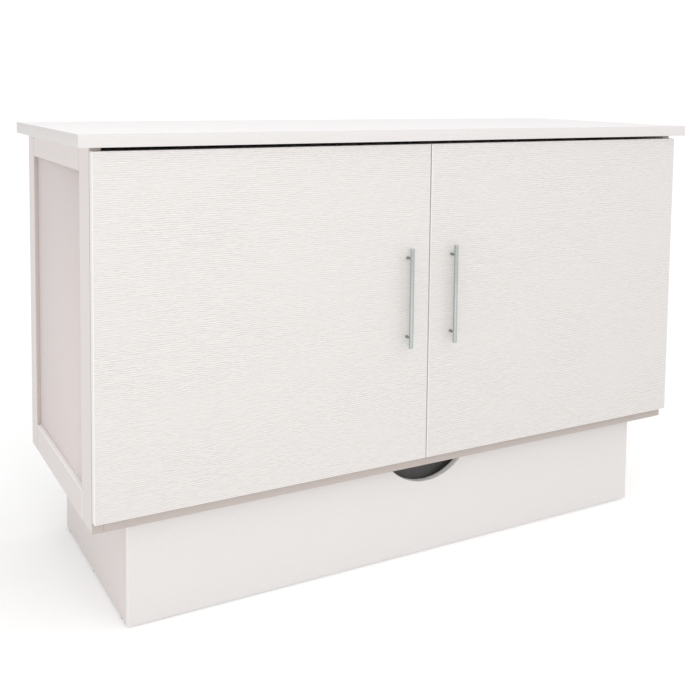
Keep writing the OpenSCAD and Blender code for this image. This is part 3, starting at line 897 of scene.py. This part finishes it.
def edge_tape(bm, size, z, r=2.6 * MM, inset=3.2 * MM, corner=22 * MM):
    """Round piping along the section's outline at one height."""
    sx, sy = size[0] / 2 - inset, size[1] / 2 - inset
    path = []
    for cx, cy, a0 in ((sx, sy, 0), (-sx, sy, 90), (-sx, -sy, 180), (sx, -sy, 270)):
        mx = cx - math.copysign(corner, cx)
        my = cy - math.copysign(corner, cy)
        for k in range(7):
            a = math.radians(a0 + 15 * k)
            path.append(Vector((mx + corner * math.cos(a), my + corner * math.sin(a), z)))
    smooth = []
    for p, q in zip(path, path[1:] + path[:1]):
        n = max(1, int((q - p).length / (20 * MM)))
        smooth += [p.lerp(q, k / n) for k in range(n)]
    rings = []
    for i, p in enumerate(smooth):
        t = (smooth[(i + 1) % len(smooth)] - smooth[i - 1]).normalized()
        side = Vector((-t.y, t.x, 0))
        ring = [bm.verts.new(p + side * r * math.cos(a) + Vector((0, 0, r * math.sin(a))))
                for a in (math.pi * k / 4 for k in range(8))]
        rings.append(ring)
    for one, two in zip(rings, rings[1:] + rings[:1]):
        for k in range(8):
            bm.faces.new((one[k], one[(k + 1) % 8], two[(k + 1) % 8], two[k]))


def mattresses():
    """Three padded sections from one cover, each with piping along its top and bottom edge."""
    size = to_section("head")[1]
    size = (size.x, size.z, size.y)
    cover = puffed(size)
    for section, (body, _) in SECTIONS.items():
        place = to_section(section)[0]
        bm = cover.copy()
        bm.transform(place)
        replaced = (section + "_mattress",)
        obj = new_piece(section + "_pad", bm, M["knit"], body, replaced, 180)
        obj.data.materials.append(M["twill"])
        up = place.to_3x3() @ Vector((0, 0, 1))
        for f in obj.data.polygons:
            if abs(f.normal.dot(up)) < 0.55:
                f.material_index = 1
        fine = obj.modifiers.new("smooth", "SUBSURF")
        fine.levels = fine.render_levels = 1
        bm = bmesh.new()
        for z in (size[2] / 2 - PUFF - TAPE_IN, -size[2] / 2 + TAPE_IN):
            edge_tape(bm, size, z)
        bm.transform(place)
        new_piece(section + "_piping", bm, M["tape"], body, (), 80)
    cover.free()


# ---------------------------------------------------------------- CAD nodes kept as they are


def finish_nodes():
    """Gives every CAD node the material of its slot in the record."""
    looks = {
        "white_board": "white_x", "white_carcass": "plain_x", "drawer_board": "drawer",
        "deck_timber": "frame_x", "slat_timber": "slat", "mattress_cover": "knit",
        "handle_steel": "handle", "fitting_steel": "zinc", "leg_paint": "powder",
        "wheel_tread": "tread", "black_rubber": "rubber",
    }
    for sub in frame["record"]["subparts"]:
        obj = frame["nodes"][sub["node"]]
        obj.data.materials.clear()
        obj.data.materials.append(M[looks[sub["material_slot"]]])


# ---------------------------------------------------------------- stage


def stage():
    """A pale floor, and a world that is whiter to the camera than it is as a light."""
    bm = bmesh.new()
    bmesh.ops.create_grid(bm, x_segments=2, y_segments=2, size=40)
    mesh = bpy.data.meshes.new("floor")
    bm.to_mesh(mesh)
    bm.free()
    floor = bpy.data.objects.new("floor", mesh)
    bpy.context.scene.collection.objects.link(floor)
    s = Shader("floor_paper", (0.78, 0.78, 0.78), 0.95, Specular_IOR_Level=0.1, Emission_Strength=0.22)
    s.bsdf.inputs["Emission Color"].default_value = (1, 1, 1, 1)
    mesh.materials.append(s.mat)
    world = bpy.data.worlds.new("studio")
    bpy.context.scene.world = world
    world.use_nodes = True
    nodes, links = world.node_tree.nodes, world.node_tree.links
    soft = nodes["Background"]
    soft.inputs["Color"].default_value = (1.0, 0.995, 0.99, 1)
    soft.inputs["Strength"].default_value = WORLD_LIGHT
    white = nodes.new("ShaderNodeBackground")
    white.inputs["Color"].default_value = (1, 1, 1, 1)
    white.inputs["Strength"].default_value = WORLD_SEEN
    seen = nodes.new("ShaderNodeLightPath")
    pick = nodes.new("ShaderNodeMixShader")
    links.new(seen.outputs["Is Camera Ray"], pick.inputs[0])
    links.new(soft.outputs[0], pick.inputs[1])
    links.new(white.outputs[0], pick.inputs[2])
    links.new(pick.outputs[0], nodes["World Output"].inputs["Surface"])


def lamp(name, kind, place, target, energy, **props):
    """A light at one place that points at another."""
    data = bpy.data.lights.new(name, kind)
    data.energy = energy
    for key, value in props.items():
        setattr(data, key, value)
    obj = bpy.data.objects.new(name, data)
    bpy.context.scene.collection.objects.link(obj)
    obj.location = place
    obj.rotation_mode = "QUATERNION"
    obj.rotation_quaternion = (Vector(target) - Vector(place)).to_track_quat("-Z", "Y")


def lights():
    """A wide soft key from the upper right front, a tall strip for the handles and a fill from the left."""
    lamp("key", "SUN", (1.2, -2.4, 4.4), (0, 0, 0.2), 1.0, angle=math.radians(75))
    lamp("strip", "AREA", (-1.0, -3.4, 1.2), (0, 0, 0.6), 19, shape="RECTANGLE", size=0.5, size_y=1.6)
    lamp("fill", "AREA", (-3.4, -1.2, 1.1), (-0.6, 0, 0.4), 9, shape="RECTANGLE", size=1.6, size_y=1.6)
    bpy.context.scene.view_settings.view_transform = "Standard"


def camera():
    """The view from the front left, with the lens shifted so that the verticals stay nearly upright."""
    yaw, pitch, roll = (math.radians(a) for a in (29.29, 4.385, 0.698))
    forward = Vector((math.sin(yaw) * math.cos(pitch), math.cos(yaw) * math.cos(pitch), -math.sin(pitch)))
    right = Vector((math.cos(yaw), -math.sin(yaw), 0))
    up = right.cross(forward)
    r2 = right * math.cos(roll) + up * math.sin(roll)
    u2 = -right * math.sin(roll) + up * math.cos(roll)
    data = bpy.data.cameras.new("camera")
    data.sensor_width = 36.0
    data.lens = 50.77
    data.shift_x = -0.0062
    data.shift_y = -0.2714
    obj = bpy.data.objects.new("camera", data)
    bpy.context.scene.collection.objects.link(obj)
    place = Vector((-1.2702, CARCASS_FRONT - 1.9186, 1.1414))
    obj.matrix_world = Matrix((
        (r2.x, u2.x, -forward.x, place.x),
        (r2.y, u2.y, -forward.y, place.y),
        (r2.z, u2.z, -forward.z, place.z),
        (0, 0, 0, 1)))
    bpy.context.scene.camera = obj


finish_nodes()
boards()
side_frames()
drawer_boards()
pull_shade_pocket()
deck_frames()
fittings()
pins()
wheels()
screws()
leaf_stop()
handles()
mattresses()
stage()
lights()
camera()
